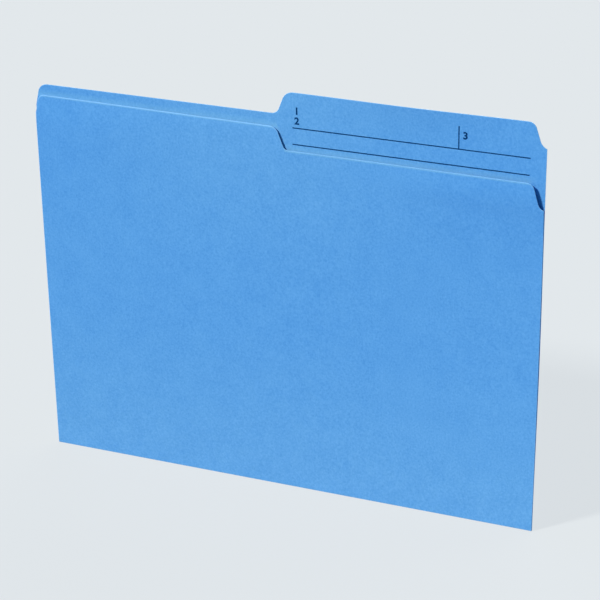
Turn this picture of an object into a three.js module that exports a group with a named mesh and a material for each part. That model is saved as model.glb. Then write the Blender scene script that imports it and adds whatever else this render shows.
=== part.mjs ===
// Letter-size file folder with a half-cut tab, standing upright on its fold and closed.
// Millimetres, +Z up. The origin is under the middle of the fold. X runs along the fold, with the tab at +X.
// The front panel faces -Y and the back panel, which carries the tab, stands behind it.
// It is one sheet of card: two panels joined by a narrow strip between two score lines.
import * as THREE from "three";

// Card
const cardThickness = 0.28;
const panelWidth = 298.45;
const cardBlue = new THREE.Color("#5ba2e4");

// Fold: the sheet turns on two score lines, and each solid beside a score stops short of it
const scoreSpacing = 1.2;
const scoreClearance = 0.29;
const creaseEdgeRadius = 0.1;

// Back panel: its body edge, and the tab that rises above it from the middle to near the right side
const tabTopHeight = 244.5;
const tabRise = 13.1;
const tabStepCentre = 0.75;
const backShoulderDrop = 13;

// Front panel: a high left half, and a right half cut lower to show the tab
const frontSetDown = 6.9;
const undercutDrop = 13.4;
const undercutStepCentre = 0.5;
const frontShoulderDrop = 10.4;

// Die-cut steps near the middle of both panels
const stepSlope = 69;
const stepCrestRadius = 6.7;
const stepRootRadius = 4.6;

// Die-cut steps at the right side of both panels, whose wide root still falls as it meets the side
const endSlope = 72;
const endCrestInset = 7;
const endCrestRadius = 4.6;
const endRootRadius = 6.6;
const endShoulderSlope = 24;
const endShoulderSetDown = 1;

// The left side of both panels leans in above a shoulder and ends in a rounded corner
const leanAngle = 77;
const leanCornerRadius = 6;

const arcDivisions = 12;

const halfThickness = cardThickness / 2;
const scoreHeight = halfThickness;
const scoreReach = scoreSpacing / 2;
const panelFoot = scoreHeight + scoreClearance;
const rightSide = panelWidth / 2;
const leftSide = -panelWidth / 2;

const backBodyTop = tabTopHeight - tabRise;
const frontHighTop = backBodyTop - frontSetDown;
const frontLowTop = frontHighTop - undercutDrop;
const endDrop = tabRise + endShoulderSetDown;

// How far a cut edge runs sideways while it climbs by height at slope degrees from level.
function runFor(height, slope) {
  return height / Math.tan(THREE.MathUtils.degToRad(slope));
}

// A closed outline through its corners, anticlockwise, with an arc in place of each corner that has a radius.
// An arc uses up no more than the shorter of the two edges at its corner.
function cutOutline(corners) {
  const shape = new THREE.Shape();
  corners.forEach(([x, y, radius], i) => {
    const corner = new THREE.Vector2(x, y);
    if (!radius) {
      if (i === 0) shape.moveTo(x, y);
      else shape.lineTo(x, y);
      return;
    }
    const before = new THREE.Vector2(...corners.at(i - 1)).sub(corner);
    const after = new THREE.Vector2(...corners.at((i + 1) % corners.length)).sub(corner);
    const shorterEdge = Math.min(before.length(), after.length());
    before.normalize();
    after.normalize();
    const halfAngle = Math.acos(before.dot(after)) / 2;
    const reach = Math.min(radius / Math.tan(halfAngle), shorterEdge);
    const fittedRadius = reach * Math.tan(halfAngle);
    const centre = before.clone().add(after).setLength(fittedRadius / Math.sin(halfAngle)).add(corner);
    const start = before.clone().multiplyScalar(reach).add(corner).sub(centre);
    const end = after.clone().multiplyScalar(reach).add(corner).sub(centre);
    const turnsRight = before.cross(after) > 0;
    shape.absarc(centre.x, centre.y, fittedRadius, start.angle(), end.angle(), turnsRight);
  });
  return shape;
}

// The step at the right side, from its shoulder on the side up to an edge at height top.
// Its root corner lies where the step's slope crosses the shoulder's slope.
function rightEnd(top) {
  const crest = rightSide - endCrestInset;
  const shoulderRise = Math.tan(THREE.MathUtils.degToRad(endShoulderSlope));
  const rootDrop = (endDrop - endCrestInset * shoulderRise) / (1 - runFor(shoulderRise, endSlope));
  return [
    [rightSide, top - endDrop],
    [crest + runFor(rootDrop, endSlope), top - rootDrop, endRootRadius],
    [crest, top, endCrestRadius],
  ];
}

// The step near the middle, from an edge at height from, on its right, to one at height to, on its left.
function middleStep(centre, from, to) {
  const halfRun = runFor(Math.abs(from - to), stepSlope) / 2;
  const radii = [stepCrestRadius, stepRootRadius];
  const [first, second] = from > to ? radii : radii.toReversed();
  return [
    [centre + halfRun, from, first],
    [centre - halfRun, to, second],
  ];
}

// The left end, from a rounded corner at height top down the leaning side to its shoulder.
function leftEnd(top, shoulderDrop) {
  return [
    [leftSide + runFor(shoulderDrop, leanAngle), top, leanCornerRadius],
    [leftSide, top - shoulderDrop],
  ];
}

function panelOutline(rightTop, leftTop, stepCentre, leftShoulderDrop) {
  return cutOutline([
    [leftSide, panelFoot],
    [rightSide, panelFoot],
    ...rightEnd(rightTop),
    ...middleStep(stepCentre, rightTop, leftTop),
    ...leftEnd(leftTop, leftShoulderDrop),
  ]);
}

function extruded(shape, depth) {
  return new THREE.ExtrudeGeometry(shape, { depth, bevelEnabled: false, curveSegments: arcDivisions });
}

function card(name, geometry) {
  const finish = new THREE.MeshStandardMaterial({ color: cardBlue, roughness: 0.82, metalness: 0 });
  const mesh = new THREE.Mesh(geometry, finish);
  mesh.name = name;
  return mesh;
}

// A panel with an outline in X and Z, its middle plane at y = middle.
function standingPanel(name, outline, middle) {
  const geometry = extruded(outline, cardThickness)
    .rotateX(Math.PI / 2)
    .translate(0, middle + halfThickness, 0);
  return card(name, geometry);
}

function backPanel() {
  const outline = panelOutline(tabTopHeight, backBodyTop, tabStepCentre, backShoulderDrop);
  return standingPanel("back_panel", outline, scoreReach);
}

function frontPanel() {
  const outline = panelOutline(frontLowTop, frontHighTop, undercutStepCentre, frontShoulderDrop);
  return standingPanel("front_panel", outline, -scoreReach);
}

// The strip between the scores: a profile in Y and Z with a rounded underside, run along the whole fold.
function creaseStrip() {
  const reach = scoreReach - scoreClearance;
  const profile = cutOutline([
    [reach, cardThickness],
    [-reach, cardThickness],
    [-reach, 0, creaseEdgeRadius],
    [reach, 0, creaseEdgeRadius],
  ]);
  const geometry = extruded(profile, panelWidth)
    .rotateY(Math.PI / 2)
    .rotateX(Math.PI / 2)
    .translate(leftSide, 0, 0);
  return card("crease_strip", geometry);
}

const folder = new THREE.Group();
folder.name = "file_folder";
folder.add(backPanel(), creaseStrip(), frontPanel());

export default folder;
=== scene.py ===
import math

import bmesh
import bpy
from mathutils import Matrix, Vector


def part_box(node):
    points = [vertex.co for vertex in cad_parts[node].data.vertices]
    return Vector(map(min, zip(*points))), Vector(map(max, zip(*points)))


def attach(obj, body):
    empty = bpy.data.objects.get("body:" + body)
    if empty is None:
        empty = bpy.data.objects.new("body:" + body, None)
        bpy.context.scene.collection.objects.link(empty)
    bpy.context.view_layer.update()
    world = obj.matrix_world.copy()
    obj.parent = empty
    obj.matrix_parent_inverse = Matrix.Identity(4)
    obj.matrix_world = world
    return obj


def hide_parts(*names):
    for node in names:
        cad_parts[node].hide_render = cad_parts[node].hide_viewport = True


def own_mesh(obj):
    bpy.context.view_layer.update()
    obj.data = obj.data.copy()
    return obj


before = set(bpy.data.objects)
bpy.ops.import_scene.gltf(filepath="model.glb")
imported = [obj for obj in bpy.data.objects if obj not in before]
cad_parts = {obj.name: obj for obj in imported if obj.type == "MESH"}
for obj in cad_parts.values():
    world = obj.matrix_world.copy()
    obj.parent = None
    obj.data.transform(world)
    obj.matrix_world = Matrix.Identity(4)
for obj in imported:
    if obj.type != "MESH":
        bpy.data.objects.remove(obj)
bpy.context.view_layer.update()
mm = 0.001


# colours are picked as sRGB bytes and turned into the linear values that shaders take
def tint(red, green, blue):
    def linear(byte):
        c = byte / 255
        return c / 12.92 if c <= 0.04045 else ((c + 0.055) / 1.055) ** 2.4
    return (linear(red), linear(green), linear(blue), 1.0)


# 0 up to low, 1 from high on, and a soft curve between them
def smooth(value, low, high):
    t = min(1.0, max(0.0, (value - low) / (high - low)))
    return t * t * (3 - 2 * t)


# camera: a long lens, from above and to the right of the panels' middle
shot = {
    "lens": 126.36,
    "sensor": 36.0,
    "yaw": 21.79,
    "pitch": 25.49,
    "roll": -0.8,
    "aim": Vector((10.42, 0.0, 121.69)) * mm,
    "distance": 1182.7 * mm,
    "nearest": 10 * mm,
}


def addCamera(shot):
    yaw, pitch, roll = (math.radians(shot[k]) for k in ("yaw", "pitch", "roll"))
    away = Vector((math.sin(yaw) * math.cos(pitch), -math.cos(yaw) * math.cos(pitch), math.sin(pitch)))
    across = Vector((math.cos(yaw), math.sin(yaw), 0))
    upward = away.cross(across)
    turn = Matrix((across, upward, away)).transposed() @ Matrix.Rotation(roll, 3, "Z")
    data = bpy.data.cameras.new("camera")
    data.lens = shot["lens"]
    data.sensor_width = shot["sensor"]
    data.clip_start = shot["nearest"]
    camera = bpy.data.objects.new("camera", data)
    camera.matrix_world = Matrix.LocRotScale(shot["aim"] + away * shot["distance"], turn, None)
    bpy.context.scene.collection.objects.link(camera)
    bpy.context.scene.camera = camera


addCamera(shot)
print("camera placed")


# one node: its values may be numbers, colours or sockets to link from
def wire(tree, kind, values=None, **settings):
    node = tree.nodes.new(kind)
    for name, value in settings.items():
        setattr(node, name, value)
    for name, value in (values or {}).items():
        if isinstance(value, bpy.types.NodeSocket):
            tree.links.new(value, node.inputs[name])
        else:
            node.inputs[name].default_value = value
    return node


def maths(tree, operation, a, b):
    node = wire(tree, "ShaderNodeMath", {0: a, 1: b}, operation=operation)
    return node.outputs[0]


def spread(tree, value, fromLow, fromHigh, toLow, toHigh):
    ends = {"Value": value, "From Min": fromLow, "From Max": fromHigh, "To Min": toLow, "To Max": toHigh}
    return wire(tree, "ShaderNodeMapRange", ends).outputs["Result"]


# one colour with a share of another laid over it
def overlay(tree, share, under, over):
    mixed = wire(tree, "ShaderNodeMix", {"Factor": share}, data_type="RGBA", clamp_factor=True)
    for socket, value in ((mixed.inputs[6], under), (mixed.inputs[7], over)):
        if isinstance(value, bpy.types.NodeSocket):
            tree.links.new(value, socket)
        else:
            socket.default_value = value
    return mixed.outputs[2]


# pulp: the clouding, mottle and crossed fibres of dyed uncoated card
pulpMix = {
    "detail": 2.0,
    "even": 0.5,  # roughness of the clouds' and fibres' noise
    "coarse": 0.6,  # and of the mottle's
    "fibreAngles": (28, -61),
    "fibreStretch": 0.2,
    "mottleShare": 0.62,  # the fibres have the rest
    "cloudShare": 0.15,  # mottle and fibres have the rest
    "middle": 0.515,  # about the mean of them all
    "mottleSpan": (0.3, 0.7),
    "roughness": (0.78, 0.88),
}


def makePulpGroup():
    tree = bpy.data.node_groups.new("pulp", "ShaderNodeTree")
    sockets = (
        ("Deep Colour", "INPUT", "NodeSocketColor"),
        ("Pale Colour", "INPUT", "NodeSocketColor"),
        ("Cloud Scale", "INPUT", "NodeSocketFloat"),
        ("Mottle Scale", "INPUT", "NodeSocketFloat"),
        ("Fibre Scale", "INPUT", "NodeSocketFloat"),
        ("Contrast", "INPUT", "NodeSocketFloat"),
        ("Colour", "OUTPUT", "NodeSocketColor"),
        ("Roughness", "OUTPUT", "NodeSocketFloat"),
        ("Height", "OUTPUT", "NodeSocketFloat"),
    )
    for name, side, kind in sockets:
        tree.interface.new_socket(name=name, in_out=side, socket_type=kind)
    given = tree.nodes.new("NodeGroupInput").outputs
    place = tree.nodes.new("ShaderNodeTexCoord").outputs["Object"]

    def noise(vector, scale, rough):
        values = {"Vector": vector, "Scale": scale, "Detail": pulpMix["detail"], "Roughness": rough}
        return wire(tree, "ShaderNodeTexNoise", values).outputs[0]

    # noise drawn out along one direction of the sheet
    def fibres(angle):
        scale = (1, 1, pulpMix["fibreStretch"])
        turned = {"Vector": place, "Rotation": (0, math.radians(angle), 0), "Scale": scale}
        along = wire(tree, "ShaderNodeMapping", turned).outputs[0]
        return noise(along, given["Fibre Scale"], pulpMix["even"])

    def blended(a, b, share):
        return maths(tree, "ADD", maths(tree, "MULTIPLY", a, share), maths(tree, "MULTIPLY", b, 1 - share))

    clouds = noise(place, given["Cloud Scale"], pulpMix["even"])
    mottle = noise(place, given["Mottle Scale"], pulpMix["coarse"])
    crossed = maths(tree, "MAXIMUM", *(fibres(angle) for angle in pulpMix["fibreAngles"]))
    fine = blended(mottle, crossed, pulpMix["mottleShare"])
    summed = blended(clouds, fine, pulpMix["cloudShare"])
    centred = maths(tree, "MULTIPLY", maths(tree, "SUBTRACT", summed, pulpMix["middle"]), given["Contrast"])
    share = spread(tree, centred, -0.5, 0.5, 0.0, 1.0)
    out = tree.nodes.new("NodeGroupOutput").inputs
    tree.links.new(overlay(tree, share, given["Deep Colour"], given["Pale Colour"]), out["Colour"])
    tree.links.new(spread(tree, mottle, *pulpMix["mottleSpan"], *pulpMix["roughness"]), out["Roughness"])
    tree.links.new(fine, out["Height"])
    return tree


pulp = makePulpGroup()


# how much painted light pales the card: most towards the fold, as a painted bounce from the floor, a little
# more on the tab than below it, and near the top more in the middle than at the sides, as painted uneven
# lamp light
def paintedLightMask(tree, paintedLight, x, z):
    fold = spread(tree, z, paintedLight["foldFrom"], paintedLight["foldTo"], paintedLight["even"], paintedLight["atFold"])
    nearTop = spread(tree, z, paintedLight["topFrom"], paintedLight["topTo"], 0.0, 1.0)
    offCentre = maths(tree, "ABSOLUTE", maths(tree, "SUBTRACT", x, paintedLight["centre"]), 0.0)
    across = spread(tree, offCentre, paintedLight["near"], paintedLight["far"], paintedLight["atCentre"], paintedLight["atSides"])
    onTab = spread(tree, z, paintedLight["tabFrom"], paintedLight["tabTo"], 0.0, paintedLight["onTab"])
    return maths(tree, "ADD", maths(tree, "ADD", fold, onTab), maths(tree, "MULTIPLY", nearTop, across))


# painted glow of light bounced between the panels: 1 on the back panel's inner face just above the closed
# front panel's top edge, and less above it
def paintedGlowMask(tree, paintedGlow, x, y, z):
    edge = spread(tree, x, paintedGlow["stepStart"], paintedGlow["stepEnd"], paintedGlow["leftTop"], paintedGlow["rightTop"])
    rise = spread(tree, x, paintedGlow["start"], paintedGlow["stepStart"], paintedGlow["leftRise"], 0.0)
    above = maths(tree, "SUBTRACT", z, maths(tree, "ADD", edge, rise))
    rising = spread(tree, above, -2 * paintedGlow["hidden"], -paintedGlow["hidden"], 0.0, 1.0)
    falling = spread(tree, above, -paintedGlow["hidden"], paintedGlow["reach"], 1.0, 0.0)
    inside = maths(tree, "LESS_THAN", y, paintedGlow["face"])
    beside = spread(tree, x, paintedGlow["end"] - paintedGlow["hidden"], paintedGlow["end"] + paintedGlow["reach"], 1.0, 0.0)
    band = maths(tree, "MULTIPLY", maths(tree, "MULTIPLY", rising, falling), beside)
    return maths(tree, "MULTIPLY", band, inside)


# what only the card's faces show: painted light that pales them towards the fold and the top's middle, a
# painted glow above the front panel's top edge, and worn edges with a painted highlight
def paintedLightAndWear(tree, look, grain):
    place = tree.nodes.new("ShaderNodeTexCoord").outputs["Object"]
    x, y, z = wire(tree, "ShaderNodeSeparateXYZ", {"Vector": place}).outputs
    # painted light: paler towards the fold and in the top's middle
    share = paintedLightMask(tree, look["paintedLight"], x, z)
    for socket, value in look["paintedLit"].items():
        tree.links.new(overlay(tree, share, look["pulp"][socket], value), grain.inputs[socket])
    # painted glow of bounced light above the front panel's top edge
    glowShare = maths(tree, "MULTIPLY", paintedGlowMask(tree, look["paintedGlow"], x, y, z), look["paintedGlow"]["strength"])
    colour = overlay(tree, glowShare, grain.outputs["Colour"], look["paintedGlow"]["colour"])
    # edge wear, with a painted highlight on the rims that face up
    wearAndHighlight = wire(tree, "ShaderNodeAttribute", attribute_name="wearAndHighlight").outputs["Fac"]
    return overlay(tree, wearAndHighlight, colour, look["wornAndHighlight"])


def cardMaterial(name, look):
    material = bpy.data.materials.new(name)
    material.use_nodes = True
    tree = material.node_tree
    surface = tree.nodes["Principled BSDF"]
    grain = tree.nodes.new("ShaderNodeGroup")
    grain.node_tree = pulp
    for socket, value in look["pulp"].items():
        grain.inputs[socket].default_value = value
    height = {"Height": grain.outputs["Height"], "Strength": look["bump"], "Distance": look["relief"]}
    relief = wire(tree, "ShaderNodeBump", height)
    colour = paintedLightAndWear(tree, look, grain) if "wornAndHighlight" in look else grain.outputs["Colour"]
    tree.links.new(colour, surface.inputs["Base Color"])
    tree.links.new(grain.outputs["Roughness"], surface.inputs["Roughness"])
    tree.links.new(relief.outputs["Normal"], surface.inputs["Normal"])
    surface.inputs["Specular IOR Level"].default_value = look["specular"]
    material.diffuse_color = look["pulp"]["Pale Colour"]
    return material


# the die: slopes of the cuts that both panels share
die = {
    "stepSlope": 69,
    "endShoulderSlope": 24,
    "leanAngle": 77,
}
# the card: its thickness, cut rim, edge wear with a painted highlight, and the grid that a panel is built
# on
card = {
    "thickness": 0.28 * mm,
    "rimRadius": 0.125 * mm,
    "rimSegments": 3,
    "rimAngle": 50,
    "normalWeight": 80,
    "wearAndHighlightReach": 0.9 * mm,
    "wearAndHighlightTurn": (-6 * mm, 3 * mm),  # where the left half's wear and painted highlight give way to the right half's
    "flatShare": 0.03,  # of a bow, left when the folder lies open
    "arcStep": 6,
    "longestStep": 4 * mm,
    "upperRows": 9,
    "guardLoop": 0.5 * mm,
    "narrowest": 0.22 * mm,  # no column stands nearer to a side
    "sameColumn": 0.001 * mm,
}


def runFor(height, slope):
    return height / math.tan(math.radians(slope))


# an open path through corners (x, z, radius), with an arc at each corner that has a radius
def filletedPath(corners):
    points = []
    for i, (x, z, radius) in enumerate(corners):
        corner = Vector((x, z))
        if not radius:
            points.append(corner)
            continue
        before = (Vector(corners[i - 1][:2]) - corner).normalized()
        after = (Vector(corners[i + 1][:2]) - corner).normalized()
        half = before.angle(after) / 2
        centre = corner + (before + after).normalized() * radius / math.sin(half)
        start = corner + before * radius / math.tan(half) - centre
        turn = math.pi - 2 * half
        if before.x * after.y - before.y * after.x > 0:
            turn = -turn
        steps = max(2, math.ceil(math.degrees(abs(turn)) / card["arcStep"]))
        for k in range(steps + 1):
            points.append(centre + Matrix.Rotation(turn * k / steps, 2) @ start)
    return points


# the top edge of a panel, from right to left: shoulder, notch, both ends of the step, corner and shoulder
def topEdge(cut, left, right):
    crest = right - cut["endCrestInset"]
    shoulder = cut["rightTop"] - cut["endDrop"]
    leftEnd = cut["leftTop"] + cut["leftRise"]
    # the notch's root is where its steep slope meets the flatter one that falls to the side
    fall = math.tan(math.radians(die["endShoulderSlope"]))
    rootDrop = cut["endDrop"] - cut["endCrestInset"] * fall
    rootDrop /= 1 - runFor(fall, cut["endSlope"])
    halfRun = runFor(abs(cut["rightTop"] - cut["leftTop"]), die["stepSlope"]) / 2
    radii = [cut["stepCrestRadius"], cut["stepRootRadius"]]  # the higher end is the crest
    if cut["rightTop"] < cut["leftTop"]:
        radii.reverse()
    return filletedPath([
        (right, shoulder, 0),
        (crest + runFor(rootDrop, cut["endSlope"]), cut["rightTop"] - rootDrop, cut["endRootRadius"]),
        (crest, cut["rightTop"], cut["endCrestRadius"]),
        (cut["stepCentre"] + halfRun, cut["rightTop"], radii[0]),
        (cut["stepCentre"] - halfRun, cut["leftTop"], radii[1]),
        (left + runFor(cut["shoulderDrop"], die["leanAngle"]), leftEnd, cut["leanCornerRadius"]),
        (left, leftEnd - cut["shoulderDrop"], 0),
    ])


# (x, top height) of each column of the panel's grid, from left to right
def columnsUnder(path, left, right):
    columns = [path[-1]]
    for a, b in zip(reversed(path[1:]), reversed(path[:-1])):
        pieces = max(1, math.ceil((b - a).length / card["longestStep"]))
        columns += [a.lerp(b, k / pieces) for k in range(1, pieces + 1)]
    kept = [columns[0]]
    for column in columns[1:-1]:
        inside = left + card["narrowest"] < column.x < right - card["narrowest"]
        if inside and column.x - kept[-1].x > card["sameColumn"]:
            kept.append(column)
    return kept + [columns[-1]]


# heights of a column's points, with a loop close to the foot and the top that keeps the cut rims crisp
def rowHeights(foot, knee, top):
    def steps(low, high, count):
        return [low + (high - low) * k / count for k in range(count)]
    guard = card["guardLoop"]
    lower = steps(foot + guard, knee, math.ceil((knee - foot) / card["longestStep"]))
    upper = steps(knee, top - guard, card["upperRows"])
    return [foot] + lower + upper + [top - guard, top]


# one panel: a grid on the sheet's middle surface, which gets its thickness and rounded rim afterwards
def buildPanel(name, cut, bend, left, right, foot):
    columns = columnsUnder(topEdge(cut, left, right), left, right)
    knee = min(top for _, top in columns) - cut["kneeDrop"]
    mesh = bmesh.new()
    # each vertex's share of edge wear and painted highlight
    wearAndHighlight = mesh.verts.layers.float.new("wearAndHighlight")
    grid = []
    for i, (x, top) in enumerate(columns):
        before, after = columns[max(i - 1, 0)], columns[min(i + 1, len(columns) - 1)]
        level = Vector((1, 0)).dot((after - before).normalized())
        grid.append([mesh.verts.new((x, bend(x, z), z)) for z in rowHeights(foot, knee, top)])
        strength = cut["wearAndHighlightLeft"] + (cut["wearAndHighlightRight"] - cut["wearAndHighlightLeft"]) * smooth(x, *card["wearAndHighlightTurn"])
        # edge wear with a painted highlight where light from above catches the rim: strongest at the top
        # and right edges, less where the top edge is steep, and below 0 past the reach, which the
        # material's mix clamps to 0
        for vertex in grid[-1]:
            inside = min((top - vertex.co.z) * level, right - x)
            vertex[wearAndHighlight] = strength * level * (1 - inside / card["wearAndHighlightReach"])
    for a, b in zip(grid, grid[1:]):
        for j in range(len(a) - 1):
            mesh.faces.new((a[j], b[j], b[j + 1], a[j + 1]))
    piece = addMesh(name, mesh, (blueCard, cutEdge))
    sheet = piece.modifiers.new("thickness", "SOLIDIFY")
    sheet.thickness = card["thickness"]
    sheet.offset = 0
    sheet.material_offset_rim = 1
    roundRim(piece, card["rimRadius"], 1)
    return piece


def addMesh(name, mesh, materials):
    for face in mesh.faces:
        face.smooth = True
    data = bpy.data.meshes.new(name)
    mesh.to_mesh(data)
    mesh.free()
    for material in materials:
        data.materials.append(material)
    piece = bpy.data.objects.new(name, data)
    bpy.context.scene.collection.objects.link(piece)
    return piece


def roundRim(piece, radius, material):
    rim = piece.modifiers.new("rim", "BEVEL")
    rim.width = radius
    rim.segments = card["rimSegments"]
    rim.limit_method = "ANGLE"
    rim.angle_limit = math.radians(card["rimAngle"])
    rim.material = material
    rim.use_clamp_overlap = False
    weighted = piece.modifiers.new("weightedNormals", "WEIGHTED_NORMAL")
    weighted.weight = card["normalWeight"]


backLow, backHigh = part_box("back_panel")
frontLow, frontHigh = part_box("front_panel")
stripLow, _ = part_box("crease_strip")
leftSide, rightSide = backLow.x, backHigh.x
scoreHeight = stripLow.z + card["thickness"] / 2
backPlane = (backLow.y + backHigh.y) / 2
frontPlane = (frontLow.y + frontHigh.y) / 2

# back panel: it carries the tab, and bulges a little away from the front one
backCut = {
    "rightTop": backHigh.z,
    "leftTop": backHigh.z - 13.1 * mm,
    "leftRise": 0 * mm,
    "stepCentre": 0.75 * mm,
    "stepCrestRadius": 6.7 * mm,
    "stepRootRadius": 4.6 * mm,
    "shoulderDrop": 13 * mm,
    "leanCornerRadius": 6 * mm,
    "endDrop": 14.1 * mm,
    "endSlope": 72,
    "endCrestInset": 7 * mm,
    "endCrestRadius": 4.6 * mm,
    "endRootRadius": 6.6 * mm,
    "kneeDrop": 8 * mm,  # rows are level up to this far below the top edge's lowest point
    "wearAndHighlightLeft": 0.15,
    "wearAndHighlightRight": 0.15,
    "bow": 1.8 * mm,
    "bowTop": 215.2 * mm,
    "tabLean": 1.0 * mm,
    "tabLeanFrom": 222 * mm,
    "tabLeft": 8 * mm,
    "tabWidth": 132 * mm,
}


def backBend(x, z):
    bow = backCut["bow"] * math.sin(math.pi * z / backCut["bowTop"]) ** 2 if z < backCut["bowTop"] else 0
    along = min(1, max(0, (x - backCut["tabLeft"]) / backCut["tabWidth"]))
    rise = max(0, z - backCut["tabLeanFrom"]) / (backHigh.z - backCut["tabLeanFrom"])
    return backPlane + bow - backCut["tabLean"] * math.sin(math.pi * along) ** 2 * rise ** 2


# front panel: high on the left and undercut on the right, where its corner stands a little clear
frontCut = {
    "rightTop": frontHigh.z - 13.4 * mm,
    "leftTop": frontHigh.z - 0.35 * mm,
    "leftRise": 0.85 * mm,  # by which the high edge climbs towards its left end
    "stepCentre": 0.32 * mm,
    "stepCrestRadius": 5.5 * mm,
    "stepRootRadius": 3.2 * mm,
    "shoulderDrop": 10.85 * mm,
    "leanCornerRadius": 3.6 * mm,
    "endDrop": 14.7 * mm,
    "endSlope": 74,
    "endCrestInset": 6.4 * mm,
    "endCrestRadius": 4.6 * mm,
    "endRootRadius": 4.6 * mm,
    "kneeDrop": 8 * mm,
    # edge wear and painted highlight: strong along the front's high left edge, weak on the right
    "wearAndHighlightLeft": 1.0,
    "wearAndHighlightRight": 0.1,
    "leftLean": 0.25 * mm,
    "leftSpan": (20 * mm, 149 * mm),
    "leftCurl": -0.95 * mm,
    "leftCurlSpan": (207 * mm, 228 * mm),
    "stepCurl": -0.65 * mm,
    "stepCurlSpan": (219 * mm, 230 * mm),
    "middleLean": 0.1 * mm,
    "leanSpan": (0, 120 * mm),
    "rightLean": 0.85 * mm,
    "rightSpan": (20 * mm, 135 * mm),
    "rightLeanSpan": (165 * mm, 200 * mm),
    "rightBulge": 0.6 * mm,
    "bulgeCentre": 202 * mm,
    "bulgeReach": 15 * mm,
    "rightBow": 1.35 * mm,
    "rightBowSpan": (-40 * mm, 149 * mm),
    "bowTop": 215.2 * mm,
}


# leans and curls are taken as positive away from the back panel
def frontBend(x, z):
    towardsLeft = smooth(-x, *frontCut["leftSpan"])
    towardsRight = smooth(x, *frontCut["rightSpan"])
    lean = frontCut["middleLean"] + (frontCut["leftLean"] - frontCut["middleLean"]) * towardsLeft
    lean *= smooth(z, *frontCut["leanSpan"])
    lean += frontCut["leftCurl"] * towardsLeft * smooth(z, *frontCut["leftCurlSpan"])
    lean += frontCut["stepCurl"] * (1 - towardsLeft) * smooth(z, *frontCut["stepCurlSpan"])
    further = frontCut["rightLean"] - frontCut["middleLean"]
    lean += further * towardsRight * smooth(z, *frontCut["rightLeanSpan"])
    offCentre = min(1, abs(z - frontCut["bulgeCentre"]) / frontCut["bulgeReach"])
    lean += frontCut["rightBulge"] * towardsRight * math.cos(math.pi / 2 * offCentre) ** 2
    bow = frontCut["rightBow"] * math.sin(math.pi * z / frontCut["bowTop"]) if z < frontCut["bowTop"] else 0
    return frontPlane - lean + bow * smooth(x, *frontCut["rightBowSpan"])


# finishes: dyed card with painted light that pales it towards the fold and the top's middle, edge wear with
# a painted highlight and a painted glow above the front panel's edge, then the cut edges, then the ink
faceLook = {
    "pulp": {
        "Deep Colour": tint(76, 148, 217),
        "Pale Colour": tint(100, 169, 230),
        "Cloud Scale": 70.0,
        "Mottle Scale": 850.0,
        "Fibre Scale": 2600.0,
        "Contrast": 3.4,
    },
    # paler pulp colours laid on where light is painted, then the mask of that painted light
    "paintedLit": {
        "Deep Colour": tint(92, 159, 217),
        "Pale Colour": tint(116, 180, 231),
    },
    "paintedLight": {
        "foldFrom": 100 * mm,
        "foldTo": 15 * mm,
        "even": 0.37,
        "atFold": 0.92,
        "topFrom": 140 * mm,
        "topTo": 195 * mm,
        "centre": -12 * mm,
        "near": 25 * mm,
        "far": 125 * mm,
        "atCentre": 0.31,
        "atSides": -0.24,
        "tabFrom": 220 * mm,
        "tabTo": 236 * mm,
        "onTab": 0.15,
    },
    # colour of worn edges and their painted highlight
    "wornAndHighlight": tint(142, 202, 250),
    # the painted glow of light bounced between the panels, above the front panel's top edge
    "paintedGlow": {
        "stepStart": frontCut["stepCentre"] - 2.5 * mm,
        "stepEnd": frontCut["stepCentre"] + 2.5 * mm,
        "leftTop": frontCut["leftTop"],
        "leftRise": frontCut["leftRise"],
        "rightTop": frontCut["rightTop"],
        "start": leftSide,
        "end": rightSide - 9 * mm,
        "hidden": 0.6 * mm,
        "reach": 3.6 * mm,
        "face": backPlane,
        "colour": tint(146, 206, 226),
        "strength": 0.32,
    },
    "bump": 0.03,
    "relief": 0.05 * mm,
    "specular": 0.1,
}
edgeLook = {
    "pulp": {
        "Deep Colour": tint(120, 186, 238),
        "Pale Colour": tint(168, 215, 250),
        "Cloud Scale": 300.0,
        "Mottle Scale": 1800.0,
        "Fibre Scale": 4200.0,
        "Contrast": 2.2,
    },
    "bump": 0.3,
    "relief": 0.05 * mm,
    "specular": 0.15,
}
inkLook = {
    "pulp": {
        "Deep Colour": tint(0, 46, 92),
        "Pale Colour": tint(2, 68, 120),
        "Cloud Scale": 300.0,
        "Mottle Scale": 2200.0,
        "Fibre Scale": 4200.0,
        "Contrast": 2.0,
    },
    "bump": 0.1,
    "relief": 0.03 * mm,
    "specular": 0.08,
}
blueCard = cardMaterial("blueCard", faceLook)
cutEdge = cardMaterial("cutEdge", edgeLook)
printInk = cardMaterial("printInk", inkLook)
print("card materials made")


backSheet = buildPanel("back_sheet", backCut, backBend, leftSide, rightSide, scoreHeight)
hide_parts("back_panel")
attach(backSheet, "back_panel")
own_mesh(backSheet)
frontSheet = buildPanel("front_sheet", frontCut, frontBend, leftSide, rightSide, scoreHeight)
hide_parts("front_panel")
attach(frontSheet, "front_panel")
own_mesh(frontSheet)
print("panels built")


# crease: the strip between the two score lines
crease = {
    "shortfall": 0.08 * mm,
    "edgeRadius": 0.06 * mm,
    "step": 6 * mm,
}


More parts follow.
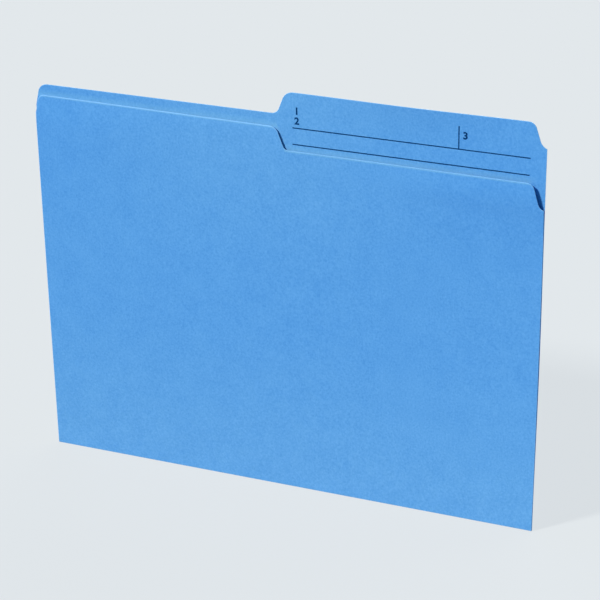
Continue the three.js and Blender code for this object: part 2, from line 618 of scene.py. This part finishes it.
def buildCrease():
    reach = (backPlane - frontPlane) / 2 - crease["shortfall"]
    low, high = stripLow.z, stripLow.z + card["thickness"]
    corners = ((-reach, low), (0, low), (reach, low), (reach, high), (0, high), (-reach, high))
    count = math.ceil((rightSide - leftSide) / crease["step"])
    mesh = bmesh.new()
    rings = []
    for k in range(count + 1):
        x = leftSide + (rightSide - leftSide) * k / count
        rings.append([mesh.verts.new((x, y, z)) for y, z in corners])
    for a, b in zip(rings, rings[1:]):
        for k in range(len(corners)):
            mesh.faces.new((a[k - 1], a[k], b[k], b[k - 1]))
    # each end is two faces that share the middle pair of corners
    for ring in (rings[0], rings[-1]):
        for end in (ring[:2] + ring[4:], ring[1:5]):
            mesh.faces.new(end).material_index = 1
    bmesh.ops.recalc_face_normals(mesh, faces=mesh.faces[:])
    piece = addMesh("crease", mesh, (blueCard, cutEdge))
    roundRim(piece, crease["edgeRadius"], 0)
    return piece


creaseStrip = buildCrease()
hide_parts("crease_strip")
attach(creaseStrip, "crease_strip")
print("crease built")


# print on the tab and just below it: two rules, a divider and three plain numerals
ink = {
    "film": 0.012 * mm,
    "sunk": 0.02 * mm,
    "line": 0.67 * mm,
    "step": 4 * mm,
    # left end, right end and height of each rule
    "rules": (
        (7.2 * mm, 140.5 * mm, 224.25 * mm),
        (7.1 * mm, 140.3 * mm, 214.7 * mm),
    ),
    "divider": (101.4 * mm, 224.4 * mm, 237.3 * mm),  # place across, foot, top
    # figure, and the left end and foot of it
    "numerals": (
        ("1", 8.4 * mm, 232.2 * mm),
        ("2", 8.4 * mm, 226.5 * mm),
        ("3", 103.6 * mm, 230.3 * mm),
    ),
    "numeralHeight": 4.1 * mm,
    "heightShare": 0.73,  # a figure's height against the font's size
    "numeralSpread": 0.2 * mm,
    "curveSteps": 6,
    "weld": 0.0001 * mm,
}


# a point of the print: x and z on the back panel, and depth out of its inner face
def tabPoint(x, z, depth):
    return Vector((x, backBend(x, z) - card["thickness"] / 2 - depth, z))


def inkBar(mesh, start, end):
    along = Vector(end) - Vector(start)
    side = Vector((-along.y, along.x)).normalized() * ink["line"] / 2
    count = max(1, math.ceil(along.length / ink["step"]))
    rings = []
    for k in range(count + 1):
        middle = Vector(start) + along * k / count
        a, b = middle + side, middle - side
        corners = ((a, ink["film"]), (b, ink["film"]), (b, -ink["sunk"]), (a, -ink["sunk"]))
        rings.append([mesh.verts.new(tabPoint(*place, depth)) for place, depth in corners])
    for a, b in zip(rings, rings[1:]):
        for k in range(len(a)):
            mesh.faces.new((a[k - 1], a[k], b[k], b[k - 1]))
    mesh.faces.new(rings[0])
    mesh.faces.new(reversed(rings[-1]))


def inkNumeral(mesh, figure, x, z):
    text = bpy.data.curves.new("figure", "FONT")
    text.body = figure
    text.size = ink["numeralHeight"] / ink["heightShare"]
    text.resolution_u = ink["curveSteps"]
    text.offset = ink["numeralSpread"]
    text.extrude = (ink["film"] + ink["sunk"]) / 2
    holder = bpy.data.objects.new("figure", text)
    bpy.context.scene.collection.objects.link(holder)
    bpy.context.view_layer.update()
    shape = bpy.data.meshes.new_from_object(holder.evaluated_get(bpy.context.evaluated_depsgraph_get()))
    for vertex in shape.vertices:
        p = vertex.co
        vertex.co = tabPoint(x + p.x, z + p.y, p.z + (ink["film"] - ink["sunk"]) / 2)
    mesh.from_mesh(shape)
    bpy.data.objects.remove(holder)
    bpy.data.meshes.remove(shape)
    bpy.data.curves.remove(text)


def buildPrint():
    mesh = bmesh.new()
    for left, right, height in ink["rules"]:
        inkBar(mesh, (left, height), (right, height))
    x, low, high = ink["divider"]
    inkBar(mesh, (x, low), (x, high))
    for figure, x, z in ink["numerals"]:
        inkNumeral(mesh, figure, x, z)
    bmesh.ops.remove_doubles(mesh, verts=mesh.verts[:], dist=ink["weld"])
    bmesh.ops.recalc_face_normals(mesh, faces=mesh.faces[:])
    piece = addMesh("tab_print", mesh, (printInk,))
    for polygon in piece.data.polygons:
        polygon.use_smooth = False
    return piece


tabPrint = buildPrint()
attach(tabPrint, "back_panel")
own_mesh(tabPrint)
print("tab printed")


# studio: an even pale floor, a key from the upper left, a wide soft lamp behind and a weak blue sky
studio = {
    "ground": tint(226, 231, 234),
    "floorHalf": 12.0,
    "floorDrop": 0.1 * mm,
    "floorBounce": (0.16, 0.3, 0.45, 1),
    "shadowShare": 0.12,
    "sky": 0.12,
    "skyColour": (0.2, 0.9, 1.65, 1),
    "key": {"from": (-0.56, -0.56, 0.61), "strength": 1.3, "angle": 7, "colour": (1.04, 1, 0.94)},
    "back": {"from": (0.3, 0.93, 0.2), "strength": 0.8, "angle": 90, "colour": (1, 1, 1)},
}


def addLamp(name, lamp):
    data = bpy.data.lights.new(name, "SUN")
    data.energy = lamp["strength"] * math.pi  # at strength 1 a face turned to the lamp shows its own colour
    data.color = lamp["colour"]
    data.angle = math.radians(lamp["angle"])
    holder = bpy.data.objects.new(name, data)
    holder.rotation_mode = "QUATERNION"
    holder.rotation_quaternion = Vector(lamp["from"]).to_track_quat("Z", "Y")
    bpy.context.scene.collection.objects.link(holder)


# what reaches level ground with nothing on it, where 1 shows a colour as written
def groundLevel():
    level = studio["sky"]
    for lamp in (studio["key"], studio["back"]):
        level += lamp["strength"] * Vector(lamp["from"]).normalized().z
    return level


# 1 where the backdrop is seen, straight or in gloss or glass, and 0 for the light that it casts
def seenBackdrop(tree):
    path = tree.nodes.new("ShaderNodeLightPath").outputs
    seen = maths(tree, "MAXIMUM", path["Is Camera Ray"], path["Is Glossy Ray"])
    return maths(tree, "MAXIMUM", seen, path["Is Transmission Ray"])


# the floor as seen glows evenly, and only a small share of it is lit, which is what shows the shadow
def groundMaterial():
    material = bpy.data.materials.new("ground")
    material.use_nodes = True
    tree = material.node_tree
    tree.nodes.clear()
    share, level = studio["shadowShare"], groundLevel()
    lit = wire(tree, "ShaderNodeBsdfDiffuse", {"Color": studio["floorBounce"]})
    ground = [c * share / level for c in studio["ground"][:3]] + [1]
    shaded = wire(tree, "ShaderNodeBsdfDiffuse", {"Color": ground})
    glow = [c * (1 - share) for c in studio["ground"][:3]] + [1]
    even = wire(tree, "ShaderNodeEmission", {"Color": glow, "Strength": 1.0})
    shown = wire(tree, "ShaderNodeAddShader", {0: shaded.outputs[0], 1: even.outputs[0]})
    sides = {0: seenBackdrop(tree), 1: lit.outputs[0], 2: shown.outputs[0]}
    mixed = wire(tree, "ShaderNodeMixShader", sides)
    wire(tree, "ShaderNodeOutputMaterial", {"Surface": mixed.outputs[0]})
    return material


def addFloor():
    half, height = studio["floorHalf"], -studio["floorDrop"]
    data = bpy.data.meshes.new("floor")
    corners = [(x, y, height) for x, y in ((-half, -half), (half, -half), (half, half), (-half, half))]
    data.from_pydata(corners, [], [(0, 1, 2, 3)])
    data.materials.append(groundMaterial())
    floor = bpy.data.objects.new("floor", data)
    bpy.context.scene.collection.objects.link(floor)


def addSky():
    world = bpy.data.worlds.new("sky")
    world.use_nodes = True
    bpy.context.scene.world = world
    tree = world.node_tree
    tree.nodes.clear()
    soft = wire(tree, "ShaderNodeBackground", {"Color": studio["skyColour"], "Strength": studio["sky"]})
    shown = wire(tree, "ShaderNodeBackground", {"Color": studio["ground"], "Strength": 1.0})
    sides = {0: seenBackdrop(tree), 1: soft.outputs[0], 2: shown.outputs[0]}
    mixed = wire(tree, "ShaderNodeMixShader", sides)
    wire(tree, "ShaderNodeOutputWorld", {"Surface": mixed.outputs[0]})


addFloor()
addSky()
addLamp("key", studio["key"])
addLamp("back", studio["back"])
bpy.context.scene.view_settings.view_transform = "Standard"
print("studio lit")
